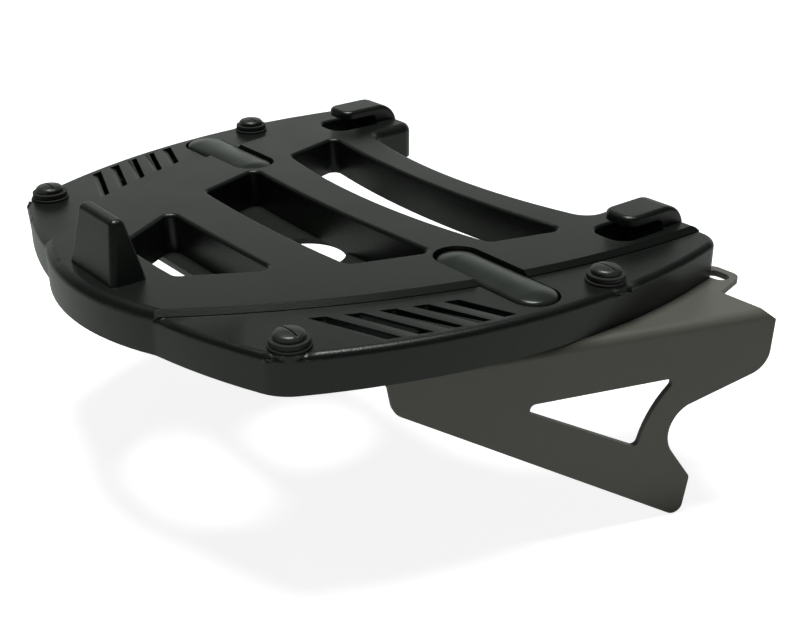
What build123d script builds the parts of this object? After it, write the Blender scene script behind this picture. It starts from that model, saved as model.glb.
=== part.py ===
from build123d import *
import os
from math import atan2, cos, hypot, radians, sin, sqrt, tan

# Top case mounting plate: a ribbed nylon plate on a folded steel bracket.
# Millimetres. +X points forwards, to the two hooks, +Y to the left, +Z up.
# The origin is on the seating face, above the middle of the four fixing screws.

os.makedirs("parts", exist_ok=True)

# Plate outline, seen from above
CREST_X = 35.0            # where the plate is widest
HALF_WIDTH = 156.0        # half of the widest place
SIDE_RADIUS = 320.0       # long curve of each side
TAIL_X = -151.5           # rearmost point, on the centre line
TAIL_RADIUS = 122.0       # curve of the rear end
JOIN_HALF = 52.0          # where the rear end passes into the wing
WING_REAR_X = -120.0      # rear end of the side curve
WING_REAR_BULGE = 2.0     # bow of the wing's rear edge
FRONT_X = 117.5           # front face of the two hook pads
PAD_INNER = 87.0          # inner side of a hook pad, from the centre line
BAY_X = 73.5              # front edge between the pads, on the centre line
BAY_RADIUS = 314.0        # curve of that edge
WING_CORNER = 22.0
FRONT_CORNER = 13.0
PAD_CORNER = 8.0
BAY_CORNER = 9.0
JOIN_CORNER = 15.0

# Plate section
DEPTH = 20.5              # seating face down to the rim
STEP = 2.5                # seating face down to the wings, over a bevel as wide
SKIN = 3.0                # thickness of the top
WALL = 3.0                # thickness of the outer wall
INNER_WALL = 2.5          # thickness of the walls round the openings
RIB = 2.0                 # thickness of the stiffening ribs
WING_ROUND = 3.2          # rounding along the wings' top edge
TAIL_ROUND = 5.0          # rounding of the seating face where it meets the outline
SEAT_ROUND = 1.8          # rounding along the windows
GROOVE_WIDTH = 1.0        # narrow groove at the foot of the step
GROOVE_DEPTH = 1.2
LOWEST = -DEPTH
AMPLE = 700.0             # longer than the part, for cuts that run right across
CROSS_RIBS = (-130.0, -98.0, -61.0, -22.0, 3.0, 38.0, 67.0, 96.0)
LONG_RIBS = (-62.0, -31.0, 0.0, 31.0, 62.0)

# Edge of the raised seating face
SEAT_TAIL_HALF = 47.5     # its rear end, on the rear curve
SEAT_FRONT_HALF = 130.0   # its front end, on the front face
SEAT_BOW = 21.5           # how far it bows outwards from a straight line
SEAT_TAIL_CORNER = 8.0
SEAT_FRONT_CORNER = 4.0

# Windows: x on the centre line, x at the ends, half length, of the rear edge and of the front edge
REAR_WINDOW = ((-113.6, -113.0, 24.5), (-75.0, -74.4, 47.5))
MIDDLE_WINDOW = ((-47.8, -45.2, 62.0), (-8.8, -5.4, 76.0))
FRONT_WINDOW = ((14.5, 23.2, 83.0), (53.8, 62.6, 94.5))
WINDOW_ROUND = 4.5

# Tongue that the case closes on
TONGUE_REAR_X = -142.6
TONGUE_LENGTH = 19.1
TONGUE_HALF = 21.4
TONGUE_HEIGHT = 28.3
TONGUE_TOP_LENGTH = 6.5
TONGUE_TOP_HALF = 16.0
TONGUE_LEAN = 5.6         # rear edge of the top, ahead of the rear edge of the foot
TONGUE_ROUND = 3.0
TONGUE_TOP_ROUND = 2.6

# Hooks that hold the front of the case
HOOK_Y = 113.0
HOOK_WIDTH = 20.0
HOOK_HEIGHT = 9.8
HOOK_GAP = 5.2            # room under the lip
LIP_X = 77.0              # rear end of the lip
THROAT_X = 100.0          # front end of the room under the lip
HOOK_ROUND = 2.4
LIP_CORNER = 7.0          # rounding of the lip, seen from above
HOOK_FRONT_X = 117.0
HOOK_FOOT = -5.0          # underside of its root, inside the plate
BROW_RADIUS = 14.0        # front shoulder of the hook
EYE_X = 70.5              # rear end of the hole below the lip
EYE_MARGIN = 1.0          # hole wider than the lip, each side
EYE_ROUND = 8.0

# Slots for the fixing screws, under their covers
SLOT_WIDTH = 24.0
SLOT_INNER = 75.0         # inner end, from the centre line
SLOT_OUTER = 148.5        # outer end, from the centre line
SLOT_FLOOR = -9.5
SLOT_FLOOR_SKIN = 3.5
COVER_GAP = 0.6           # between cover and slot, all round
COVER_TOP = -0.6
COVER_CROWN = 3.2         # rise of the cover across its width
COVER_WALL = 1.8
COVER_NOSE = 9.0          # how far the cover's ends slope down
COVER_ROUND = 0.8

# Fixing screws, nuts and washers
SCREW_INSET = 18.25       # screw axis from the end of its slot
SCREW_RADIUS = 3.0
SCREW_HEAD_RADIUS = 6.0
SCREW_HEAD_HEIGHT = 3.3
SCREW_SOCKET_ACROSS = 4.0
SCREW_SOCKET_DEPTH = 2.0
SCREW_LENGTH = 25.0
SCREW_HEAD_ROUND = 1.2
SCREW_TIP = 0.6
SCREW_CLEARANCE = 0.3     # in the holes of plate and bracket
THREAD_CLEARANCE = 0.05   # in the nut
BOSS_RADIUS = 7.0
WASHER_RADIUS = 6.0
WASHER_THICKNESS = 1.6
NUT_ACROSS = 10.0
NUT_HEIGHT = 5.0
NUT_COLLAR_HEIGHT = 1.4   # round collar with the locking insert
NUT_COLLAR_RADIUS = 4.3

# Buffers that the case rests on
BUFFER_XS = {"rear": -110.0, "front": 36.5}
BUFFER_INSET = 11.2       # from the outline
BUFFER_RADIUS = 9.3
BUFFER_UPPER_RADIUS = 8.7
BUFFER_FLANGE = 1.3       # height of the wide lower step of the ring
BUFFER_HEIGHT = 3.8
BUFFER_GROOVE = 0.4
BUFFER_ROUND = 0.5
PLUG_RADIUS = 6.9
PLUG_HEIGHT = 3.4
PLUG_CROWN = 0.8
PLUG_SLOT_WIDTH = 1.6
PLUG_SLOT_DEPTH = 0.9     # below the crown's rim
PLUG_EDGE = 0.9           # sloping shoulder round the crown
PLUG_SHANK_RADIUS = 3.0
PLUG_SHANK_LENGTH = 9.0   # below the wing
PLUG_CLEARANCE = 0.1
PLUG_BOSS_RADIUS = 6.0
BUFFER_PAD = 9.8          # flat spot on the wing below a buffer

# Vents in the wings
VENT_COUNT = 5
VENT_FIRST = (-83.5, 95.0)  # point on the front edge of the rearmost vent
VENT_PITCH = 11.6
VENT_WIDTH = 5.6          # rear edge to front edge
VENT_GAP = 2.2            # open part, along the front edge
VENT_DROP = 1.7           # fall of the sloping floor, down to the open part
VENT_ANGLE = 70.0
VENT_INNER_MARGIN = 12.5  # from the edge of the seating face
VENT_OUTER_MARGIN = 5.7   # from the outline

# Folded bracket
SHEET = 3.0
BEND_INNER = 1.5
FOLD_REAR = (-76.0, 128.7)
FOLD_ANGLE = 18.97        # each fold spreads this far from the centre line
WEB_REAR_X = -84.0
WEB_FRONT_X = 26.0
WEB_CORNER = 16.0
ARM_FRONT_X = 99.6
ARM_INNER = 115.0         # inner edge of an arm at its front
ARM_KNEE = (45.0, 99.0)
ARM_KNEE_ROUND = 22.0
BAY_HALF = 58.0           # straight part of the front edge between the arms
WEB_HOLE_WIDTH = 41.0
WEB_HOLE_FRONT_X = -5.0
WEB_HOLE_LENGTH = 57.0
EAR_LENGTH = 23.9
EAR_DROP = 1.0            # degrees that each ear is bent down
EAR_OUTER = 161.5
EAR_INNER = 132.0
EAR_TIP_OUTER = 154.7
EAR_TIP_INNER = 137.5
EAR_ROUND = 6.0
EAR_SLOT_Y = 147.2
EAR_SLOT_OUT = 15.0       # from the bend
EAR_SLOT_WIDTH = 9.0
EAR_SLOT_LENGTH = 13.0

# Side plate of the bracket: along the fold, and down from the web's top
FLANGE_HEEL = (3.5, -18.4)
FLANGE_TOE = (149.5, -103.8)
FLANGE_SHIN = (152.7, -81.4)
FLANGE_NECK = ((142.0, -66.0), (138.6, -55.5), (147.5, -41.6))
FLANGE_CHIN = (189.0, -28.8)
FLANGE_LENGTH = 190.0     # below the bend
FLANGE_HEEL_ROUND = 8.0
FLANGE_TOE_ROUND = 5.0
FLANGE_SHIN_ROUND = 4.0
FLANGE_CHIN_ROUND = 12.0
GUSSET_REAR = (58.9, -26.3)
GUSSET_FRONT = (142.0, -26.0)
GUSSET_BOW = (130.0, -40.0)
GUSSET_FOOT = (122.7, -59.5)
GUSSET_ROUND = 2.6

SIDES = {"left": 1, "right": -1}


# Points on the main curves
def side_y(x):
    """Half width of the plate at x, along the long side curve."""
    return HALF_WIDTH - SIDE_RADIUS + sqrt(SIDE_RADIUS**2 - (x - CREST_X) ** 2)


def tail_x(y):
    """Rear end of the plate at y, along the rear curve."""
    return TAIL_X + TAIL_RADIUS - sqrt(TAIL_RADIUS**2 - y**2)


def bow_point(start, end, bow):
    """Middle of an arc from start to end that bows out to the left of its chord."""
    run, rise = end[0] - start[0], end[1] - start[1]
    chord = hypot(run, rise)
    middle_x = (start[0] + end[0]) / 2 - bow * rise / chord
    middle_y = (start[1] + end[1]) / 2 + bow * run / chord
    return (middle_x, middle_y)


def bay_point(y):
    """Point of the front edge between the pads, at y."""
    return (BAY_X + BAY_RADIUS - sqrt(BAY_RADIUS**2 - y**2), y)


seat_start = (tail_x(SEAT_TAIL_HALF), SEAT_TAIL_HALF)
seat_end = (FRONT_X, SEAT_FRONT_HALF)
seat_middle = bow_point(seat_start, seat_end, SEAT_BOW)
seat_chord = hypot(seat_end[0] - seat_start[0], seat_end[1] - seat_start[1])
seat_radius = (seat_chord**2 / 4 + SEAT_BOW**2) / (2 * SEAT_BOW)
seat_turn = atan2(seat_end[1] - seat_start[1], seat_end[0] - seat_start[0])
seat_centre = (
    seat_middle[0] + seat_radius * sin(seat_turn),
    seat_middle[1] - seat_radius * cos(seat_turn),
)


def seat_y(x):
    """Edge of the raised seating face at x."""
    return seat_centre[1] + sqrt(seat_radius**2 - (x - seat_centre[0]) ** 2)


# Outlines, drawn from whole circles so that an inset one is the same curve moved inwards
join = (tail_x(JOIN_HALF), JOIN_HALF)
wing_rear = (WING_REAR_X, side_y(WING_REAR_X))
wing_chord = hypot(wing_rear[0] - join[0], wing_rear[1] - join[1])
wing_radius = (wing_chord**2 / 4 + WING_REAR_BULGE**2) / (2 * WING_REAR_BULGE)
wing_turn = atan2(wing_rear[1] - join[1], wing_rear[0] - join[0])
wing_middle = bow_point(join, wing_rear, WING_REAR_BULGE)
wing_centre = (
    wing_middle[0] + wing_radius * sin(wing_turn),
    wing_middle[1] - wing_radius * cos(wing_turn),
)
tail_centre_x = TAIL_X + TAIL_RADIUS
bay_centre_x = BAY_X + BAY_RADIUS
pad_root = bay_point(PAD_INNER)


def plate_outline(inset):
    """Outline of the whole plate, moved inwards by inset."""
    with BuildSketch() as shape:
        with BuildSketch():
            with Locations((CREST_X, HALF_WIDTH - SIDE_RADIUS)):
                Circle(SIDE_RADIUS - inset)
            with Locations(wing_centre):
                Circle(wing_radius - inset, mode=Mode.INTERSECT)
            with Locations((FRONT_X - inset, 0)):
                Rectangle(AMPLE, AMPLE, align=(Align.MAX, Align.MIN), mode=Mode.INTERSECT)
        mirror(about=Plane.XZ)
        with Locations((tail_centre_x, 0)):
            Circle(TAIL_RADIUS - inset)
        with BuildSketch(mode=Mode.SUBTRACT):
            with Locations((bay_centre_x, 0)):
                Circle(BAY_RADIUS + inset)
            Rectangle(AMPLE, 2 * (PAD_INNER + inset), mode=Mode.INTERSECT)
        for corner, radius in (
            (join, JOIN_CORNER + inset),
            (wing_rear, WING_CORNER - inset),
            ((FRONT_X, side_y(FRONT_X)), FRONT_CORNER - inset),
            ((FRONT_X, PAD_INNER), PAD_CORNER - inset),
            (pad_root, BAY_CORNER + inset),
        ):
            for side in SIDES.values():
                spot = Vector(corner[0], side * corner[1])
                fillet(shape.vertices().sort_by_distance(spot)[0], radius=radius)
    return shape.sketch


def seat_outline(inset):
    """Outline of the raised seating face, moved inwards by inset."""
    with BuildSketch() as shape:
        with Locations((seat_start[0], 0)):
            Rectangle(FRONT_X - inset - seat_start[0], AMPLE, align=(Align.MIN, Align.CENTER))
        with Locations((tail_centre_x, 0)):
            Circle(TAIL_RADIUS - inset)
        with Locations(seat_centre):
            Circle(seat_radius - inset, mode=Mode.INTERSECT)
        with Locations((seat_centre[0], -seat_centre[1])):
            Circle(seat_radius - inset, mode=Mode.INTERSECT)
        fillet(shape.vertices().group_by(Axis.X)[0], radius=SEAT_TAIL_CORNER - inset)
        fillet(shape.vertices().group_by(Axis.X)[-1], radius=SEAT_FRONT_CORNER)
    return shape.sketch


def window(rear, front):
    """Window with bowed front and rear edges; each edge is (middle x, end x, half length)."""
    with BuildSketch() as opening:
        with BuildLine():
            rear_arc = ThreePointArc((rear[1], -rear[2]), (rear[0], 0), (rear[1], rear[2]))
            front_arc = ThreePointArc((front[1], -front[2]), (front[0], 0), (front[1], front[2]))
            Line(rear_arc @ 1, front_arc @ 1)
            Line(rear_arc @ 0, front_arc @ 0)
        make_face()
        fillet(opening.vertices(), radius=WINDOW_ROUND)
    return opening.sketch


with BuildSketch() as windows:
    for rear_edge, front_edge in (REAR_WINDOW, MIDDLE_WINDOW, FRONT_WINDOW):
        add(window(rear_edge, front_edge))

# Holes below the hook lips
eye_half = HOOK_WIDTH / 2 + EYE_MARGIN
with BuildSketch() as eyes:
    for side in SIDES.values():
        with Locations(((EYE_X + THROAT_X) / 2, side * HOOK_Y)):
            Rectangle(THROAT_X - EYE_X, 2 * eye_half)
    fillet(eyes.vertices().filter_by(lambda v: v.X < LIP_X), radius=EYE_ROUND)

# Slots for the fixing screws
slot_length = SLOT_OUTER - SLOT_INNER
slot_middle = (SLOT_OUTER + SLOT_INNER) / 2
with BuildSketch() as slots:
    with Locations(*[(0, side * slot_middle) for side in SIDES.values()]):
        SlotOverall(slot_length, SLOT_WIDTH, rotation=90)


# Vents in the left wing: sloping floors that end in open gaps
vent_along = Vector(cos(radians(VENT_ANGLE)), sin(radians(VENT_ANGLE)), 0)
vent_across = Vector(vent_along.Y, -vent_along.X, 0)
with BuildSketch(Plane.XY.offset(LOWEST)) as vent_band:
    add(plate_outline(VENT_OUTER_MARGIN))
    add(seat_outline(-VENT_INNER_MARGIN), mode=Mode.SUBTRACT)
    Rectangle(AMPLE, AMPLE, align=(Align.CENTER, Align.MIN), mode=Mode.INTERSECT)
with BuildPart() as vents:
    for index in range(VENT_COUNT):
        vent_spot = Vector(VENT_FIRST[0] + index * VENT_PITCH, VENT_FIRST[1], -STEP)
        with BuildSketch(Plane(origin=vent_spot, x_dir=vent_across, z_dir=-vent_along)):
            with BuildLine():
                Polyline(
                    (-VENT_WIDTH, 0),
                    (-VENT_GAP, -VENT_DROP),
                    (-VENT_GAP, -SKIN - RIB),
                    (0, -SKIN - RIB),
                    (0, STEP),
                    (-VENT_WIDTH, STEP),
                    close=True,
                )
            make_face()
        extrude(amount=HALF_WIDTH / 2, both=True)
    extrude(vent_band.sketch, amount=DEPTH, mode=Mode.INTERSECT)

buffer_places = {
    f"{end}_{name}": (x, side * (side_y(x) - BUFFER_INSET))
    for end, x in BUFFER_XS.items()
    for name, side in SIDES.items()
}
screw_ys = {"inner": SLOT_INNER + SCREW_INSET, "outer": SLOT_OUTER - SCREW_INSET}
screw_places = {
    f"{name}_{where}": (0.0, side * y) for where, y in screw_ys.items() for name, side in SIDES.items()
}

# Raised middle with its bevelled edge, the windows and the holes below the lips
with BuildPart() as middle:
    with BuildSketch(Plane.XY.offset(LOWEST)):
        add(seat_outline(-STEP))
    extrude(amount=DEPTH)
    chamfer(middle.edges().group_by(Axis.Z)[-1], length=STEP)
    with BuildSketch(Plane.XY.offset(LOWEST)):
        add(windows.sketch)
        add(eyes.sketch)
    extrude(amount=DEPTH, mode=Mode.SUBTRACT)
    rims = middle.faces().sort_by(Axis.Z)[-1].inner_wires()
    fillet([edge for rim in rims for edge in rim.edges()], radius=SEAT_ROUND)

# Plate
with BuildPart() as plate:
    with BuildSketch(Plane.XY.offset(LOWEST)):
        add(plate_outline(0))
    extrude(amount=DEPTH)
    fillet(plate.edges().group_by(Axis.Z)[-1], radius=TAIL_ROUND)
    add(middle.part, mode=Mode.INTERSECT)

with BuildPart() as wings:
    with BuildSketch(Plane.XY.offset(LOWEST)):
        add(plate_outline(0))
    extrude(amount=DEPTH - STEP)
    fillet(wings.edges().group_by(Axis.Z)[-1], radius=WING_ROUND)
    with BuildSketch(Plane.XY.offset(-STEP)):
        with Locations(*buffer_places.values()):
            Circle(BUFFER_PAD)
        add(plate_outline(0), mode=Mode.INTERSECT)
    extrude(amount=-(DEPTH - STEP))
    with BuildSketch(Plane.XY.offset(LOWEST)):
        add(windows.sketch)
        add(eyes.sketch)
    extrude(amount=DEPTH, mode=Mode.SUBTRACT)

# Hollow underside: one pocket below the wings, a deeper one below the seating face
def pocket(outer, height):
    """Room inside an outline, with the walls, ribs and bosses left standing."""
    with BuildPart() as room:
        with BuildSketch(Plane.XY.offset(LOWEST)):
            add(outer)
            offset(windows.sketch, amount=INNER_WALL, mode=Mode.SUBTRACT)
            offset(eyes.sketch, amount=INNER_WALL, mode=Mode.SUBTRACT)
            with Locations(*screw_places.values()):
                Circle(BOSS_RADIUS, mode=Mode.SUBTRACT)
            with Locations(*buffer_places.values()):
                Circle(PLUG_BOSS_RADIUS, mode=Mode.SUBTRACT)
            with Locations(*[(x, 0) for x in CROSS_RIBS]):
                Rectangle(RIB, AMPLE, mode=Mode.SUBTRACT)
            with Locations(*[(0, y) for y in LONG_RIBS]):
                Rectangle(AMPLE, RIB, mode=Mode.SUBTRACT)
        extrude(amount=height)
    return room.part


with BuildSketch() as inner_seat:
    add(seat_outline(WALL))
    add(plate_outline(WALL), mode=Mode.INTERSECT)

# Tapered tongue, lofted from its foot to its top
with BuildPart() as tongue:
    with BuildSketch(Plane.XY.offset(-SKIN)):
        with Locations((TONGUE_REAR_X + TONGUE_LENGTH / 2, 0)):
            RectangleRounded(TONGUE_LENGTH, 2 * TONGUE_HALF, TONGUE_ROUND)
    with BuildSketch(Plane.XY.offset(TONGUE_HEIGHT)):
        with Locations((TONGUE_REAR_X + TONGUE_LEAN + TONGUE_TOP_LENGTH / 2, 0)):
            RectangleRounded(TONGUE_TOP_LENGTH, 2 * TONGUE_TOP_HALF, TONGUE_ROUND)
    loft()
    fillet(tongue.edges().group_by(Axis.Z)[-1], radius=TONGUE_TOP_ROUND)

with BuildPart() as hook:
    with BuildSketch(Plane.XZ.offset(-HOOK_WIDTH / 2)) as hook_side:
        with BuildLine():
            Polyline(
                (HOOK_FRONT_X, HOOK_FOOT),
                (THROAT_X, HOOK_FOOT),
                (THROAT_X, HOOK_GAP),
                (LIP_X, HOOK_GAP),
                (LIP_X, HOOK_HEIGHT),
                (HOOK_FRONT_X, HOOK_HEIGHT),
                close=True,
            )
        make_face()
        brow = hook_side.vertices().sort_by_distance(Vector(HOOK_FRONT_X, HOOK_HEIGHT, 0))[0]
        fillet(brow, radius=BROW_RADIUS)
        throat = hook_side.vertices().sort_by_distance(Vector(THROAT_X, HOOK_GAP, 0))[0]
        fillet(throat, radius=HOOK_ROUND)
    extrude(amount=HOOK_WIDTH)
    fillet(hook.edges().filter_by(Axis.Z).group_by(Axis.X)[0], radius=LIP_CORNER)
    fillet(hook.edges().filter_by(lambda e: e.center().Z > HOOK_GAP + HOOK_ROUND / 2), radius=HOOK_ROUND)

with BuildPart() as moulded_plate:
    add(plate.part)
    add(wings.part)
    add(pocket(plate_outline(WALL), DEPTH - STEP - SKIN), mode=Mode.SUBTRACT)
    add(pocket(inner_seat.sketch, DEPTH - SKIN), mode=Mode.SUBTRACT)
    # Troughs round the screw slots, tied into the top above them
    with BuildSketch(Plane.XY.offset(SLOT_FLOOR - SLOT_FLOOR_SKIN)):
        offset(slots.sketch, amount=INNER_WALL)
    extrude(amount=SLOT_FLOOR_SKIN - SLOT_FLOOR - STEP - SKIN / 2)
    with BuildSketch(Plane.XY.offset(SLOT_FLOOR - SLOT_FLOOR_SKIN)):
        offset(slots.sketch, amount=INNER_WALL)
        add(inner_seat.sketch, mode=Mode.INTERSECT)
    extrude(amount=SLOT_FLOOR_SKIN - SLOT_FLOOR - SKIN / 2)
    add(tongue.part)
    with Locations(*[(0, side * HOOK_Y, 0) for side in SIDES.values()]):
        add(hook.part)
    with BuildSketch(Plane.XY.offset(SLOT_FLOOR)):
        add(slots.sketch)
    extrude(amount=DEPTH, mode=Mode.SUBTRACT)
    add(vents.part, mode=Mode.SUBTRACT)
    mirror(vents.part, about=Plane.XZ, mode=Mode.SUBTRACT)
    with BuildSketch(Plane.XY.offset(-STEP)):
        add(seat_outline(-STEP - GROOVE_WIDTH))
        add(seat_outline(-STEP), mode=Mode.SUBTRACT)
    extrude(amount=-GROOVE_DEPTH, mode=Mode.SUBTRACT)
    with Locations(*[(x, y, SLOT_FLOOR) for x, y in screw_places.values()]):
        Hole(SCREW_RADIUS + SCREW_CLEARANCE)
    with Locations(*[(x, y, -STEP) for x, y in buffer_places.values()]):
        Hole(PLUG_SHANK_RADIUS + PLUG_CLEARANCE, depth=PLUG_SHANK_LENGTH + PLUG_CLEARANCE)
moulded_plate.part.label = "moulded_plate"
export_step(moulded_plate.part, "parts/moulded_plate.step")

# Covers over the slots: a shell with closed walls, crowned across and sloping at both ends
cover_width = SLOT_WIDTH - 2 * COVER_GAP
cover_length = slot_length - 2 * COVER_GAP
for name, side in SIDES.items():
    with BuildPart() as slot_cover:
        with BuildSketch(Plane.XY.offset(SLOT_FLOOR)) as cover_plan:
            with Locations((0, side * slot_middle)):
                SlotOverall(cover_length, cover_width, rotation=90)
        extrude(amount=COVER_TOP - SLOT_FLOOR)
        with BuildSketch(Plane.XZ):
            with BuildLine():
                crown = ThreePointArc(
                    (-cover_width / 2, COVER_TOP - COVER_CROWN),
                    (0, COVER_TOP),
                    (cover_width / 2, COVER_TOP - COVER_CROWN),
                )
                Polyline(
                    crown @ 1,
                    (cover_width / 2, SLOT_FLOOR),
                    (-cover_width / 2, SLOT_FLOOR),
                    crown @ 0,
                )
            make_face()
        extrude(amount=-side * 2 * slot_middle, mode=Mode.INTERSECT)
        with BuildSketch(Plane.YZ.offset(-cover_width / 2)):
            with BuildLine():
                first_end = side * (SLOT_INNER + COVER_GAP)
                last_end = side * (SLOT_OUTER - COVER_GAP)
                nose = side * COVER_NOSE
                inner_slope = TangentArc(
                    (first_end + nose, COVER_TOP), (first_end, COVER_TOP - COVER_CROWN), tangent=(-side, 0)
                )
                Line(inner_slope @ 1, (first_end, SLOT_FLOOR))
                Line((first_end, SLOT_FLOOR), (last_end, SLOT_FLOOR))
                Line((last_end, SLOT_FLOOR), (last_end, COVER_TOP - COVER_CROWN))
                outer_slope = TangentArc(
                    (last_end - nose, COVER_TOP), (last_end, COVER_TOP - COVER_CROWN), tangent=(side, 0)
                )
                Line(outer_slope @ 0, inner_slope @ 0)
            make_face()
        extrude(amount=cover_width, mode=Mode.INTERSECT)
        with BuildSketch(Plane.XY.offset(SLOT_FLOOR)):
            offset(cover_plan.sketch, amount=-COVER_WALL)
        extrude(amount=COVER_TOP - COVER_CROWN - COVER_WALL / 2 - SLOT_FLOOR, mode=Mode.SUBTRACT)
    label = f"slot_cover_{name}"
    slot_cover.part.label = label
    export_step(slot_cover.part, f"parts/{label}.step")

# Folded bracket, left half, then its mirror image
fold_along = Vector(cos(radians(FOLD_ANGLE)), sin(radians(FOLD_ANGLE)), 0)
fold_out = Vector(-fold_along.Y, fold_along.X, 0)
fold_start = Vector(FOLD_REAR[0], FOLD_REAR[1], LOWEST)
bend_outer = SHEET + BEND_INNER
web_rear = fold_start - fold_out * bend_outer
arm_end = (ARM_FRONT_X - web_rear.X) / fold_along.X
web_front = web_rear + fold_along * arm_end

with BuildSketch() as side_plate:
    with BuildLine():
        Polyline(
            FLANGE_NECK[0],
            FLANGE_SHIN,
            FLANGE_TOE,
            FLANGE_HEEL,
            (0, 0),
            (arm_end, 0),
            (FLANGE_LENGTH, -bend_outer),
            FLANGE_CHIN,
            FLANGE_NECK[2],
        )
        ThreePointArc(*FLANGE_NECK)
    make_face()
    for corner, radius in (
        (FLANGE_HEEL, FLANGE_HEEL_ROUND),
        (FLANGE_TOE, FLANGE_TOE_ROUND),
        (FLANGE_SHIN, FLANGE_SHIN_ROUND),
        (FLANGE_CHIN, FLANGE_CHIN_ROUND),
    ):
        fillet(side_plate.vertices().sort_by_distance(Vector(*corner))[0], radius=radius)

with BuildSketch() as side_opening:
    with BuildLine():
        Line(GUSSET_REAR, GUSSET_FRONT)
        ThreePointArc(GUSSET_FRONT, GUSSET_BOW, GUSSET_FOOT)
        Line(GUSSET_FOOT, GUSSET_REAR)
    make_face()
    fillet(side_opening.vertices(), radius=GUSSET_ROUND)

# Plan of the web, left half
with BuildSketch() as web_plan:
    with BuildLine():
        Polyline(
            (WEB_REAR_X, 0),
            (WEB_REAR_X, web_rear.Y - WEB_CORNER),
            (web_rear.X, web_rear.Y),
            (web_front.X, web_front.Y),
            (ARM_FRONT_X, ARM_INNER),
            ARM_KNEE,
            (WEB_FRONT_X, BAY_HALF),
            (WEB_FRONT_X, 0),
            close=True,
        )
    make_face()
    knee = web_plan.vertices().sort_by_distance(Vector(*ARM_KNEE))[0]
    fillet(knee, radius=ARM_KNEE_ROUND)
    bay_corner = web_plan.vertices().sort_by_distance(Vector(WEB_FRONT_X, BAY_HALF))[0]
    fillet(bay_corner, radius=ARM_KNEE_ROUND)
    with Locations(*[(0, y) for y in screw_ys.values()]):
        Circle(SCREW_RADIUS + SCREW_CLEARANCE, mode=Mode.SUBTRACT)
    with Locations((WEB_HOLE_FRONT_X - WEB_HOLE_LENGTH / 2, 0)):
        SlotOverall(WEB_HOLE_LENGTH, WEB_HOLE_WIDTH, mode=Mode.SUBTRACT)

# Ear: its outline, bent down in front of the arm and mitred at the bend
ear_along = Vector(cos(radians(EAR_DROP)), 0, -sin(radians(EAR_DROP)))
ear_up = Vector(-ear_along.Z, 0, ear_along.X)
ear_root = Vector(ARM_FRONT_X, 0, LOWEST)
with BuildPart() as ear:
    with BuildSketch(Plane(origin=ear_root, x_dir=ear_along, z_dir=ear_up)) as ear_plan:
        with BuildLine():
            Polyline(
                (-SHEET, EAR_OUTER),
                (0, EAR_OUTER),
                (EAR_LENGTH, EAR_TIP_OUTER),
                (EAR_LENGTH, EAR_TIP_INNER),
                (0, EAR_INNER),
                (-SHEET, EAR_INNER),
                close=True,
            )
        make_face()
        fillet(ear_plan.vertices().group_by(Axis.X)[-1], radius=EAR_ROUND)
        with Locations((EAR_SLOT_OUT, EAR_SLOT_Y)):
            SlotOverall(EAR_SLOT_LENGTH, EAR_SLOT_WIDTH, rotation=90, mode=Mode.SUBTRACT)
    extrude(amount=SHEET, both=True)
    ear_tip = ear_root + ear_along * EAR_LENGTH
    ear_tip_below = ear_tip - ear_up * SHEET
    with BuildSketch(Plane.XZ):
        with BuildLine():
            Polyline(
                (ear_root.X, ear_root.Z),
                (ear_tip.X, ear_tip.Z),
                (ear_tip_below.X, ear_tip_below.Z),
                (ear_root.X - SHEET * tan(radians(EAR_DROP / 2)), ear_root.Z - SHEET),
                close=True,
            )
        make_face()
    extrude(amount=-AMPLE, mode=Mode.INTERSECT)

side_face = Plane(origin=fold_start, x_dir=fold_along, z_dir=-fold_out)
with BuildPart() as half_bracket:
    with BuildSketch(side_face):
        add(side_plate.sketch)
        add(side_opening.sketch, mode=Mode.SUBTRACT)
    extrude(amount=SHEET)
    # The top of the side plate gives way to the bend
    bend_plane = Plane(origin=fold_start, x_dir=fold_out, z_dir=fold_along)
    with BuildSketch(bend_plane):
        with Locations((-SHEET / 2, -bend_outer / 2)):
            Rectangle(SHEET, bend_outer)
    extrude(amount=FLANGE_LENGTH, mode=Mode.SUBTRACT)
    with BuildSketch(bend_plane):
        with Locations((-bend_outer, -bend_outer)):
            Circle(bend_outer)
            Circle(BEND_INNER, mode=Mode.SUBTRACT)
            with Locations((bend_outer / 2, bend_outer / 2)):
                Rectangle(bend_outer, bend_outer, mode=Mode.INTERSECT)
    extrude(amount=FLANGE_LENGTH)
    # Front end of the bend, sloping from the arm's front edge to the side plate's
    with BuildSketch(side_face):
        with BuildLine():
            Polyline((arm_end, 0), (FLANGE_LENGTH, 0), (FLANGE_LENGTH, -bend_outer), close=True)
        make_face()
    extrude(amount=bend_outer, mode=Mode.SUBTRACT)
    with BuildSketch(Plane.XY.offset(LOWEST)):
        add(web_plan.sketch)
    extrude(amount=-SHEET)
    add(ear.part)

with BuildPart() as bracket:
    add(half_bracket.part)
    mirror(half_bracket.part, about=Plane.XZ)
bracket.part.label = "bracket"
export_step(bracket.part, "parts/bracket.step")

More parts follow.
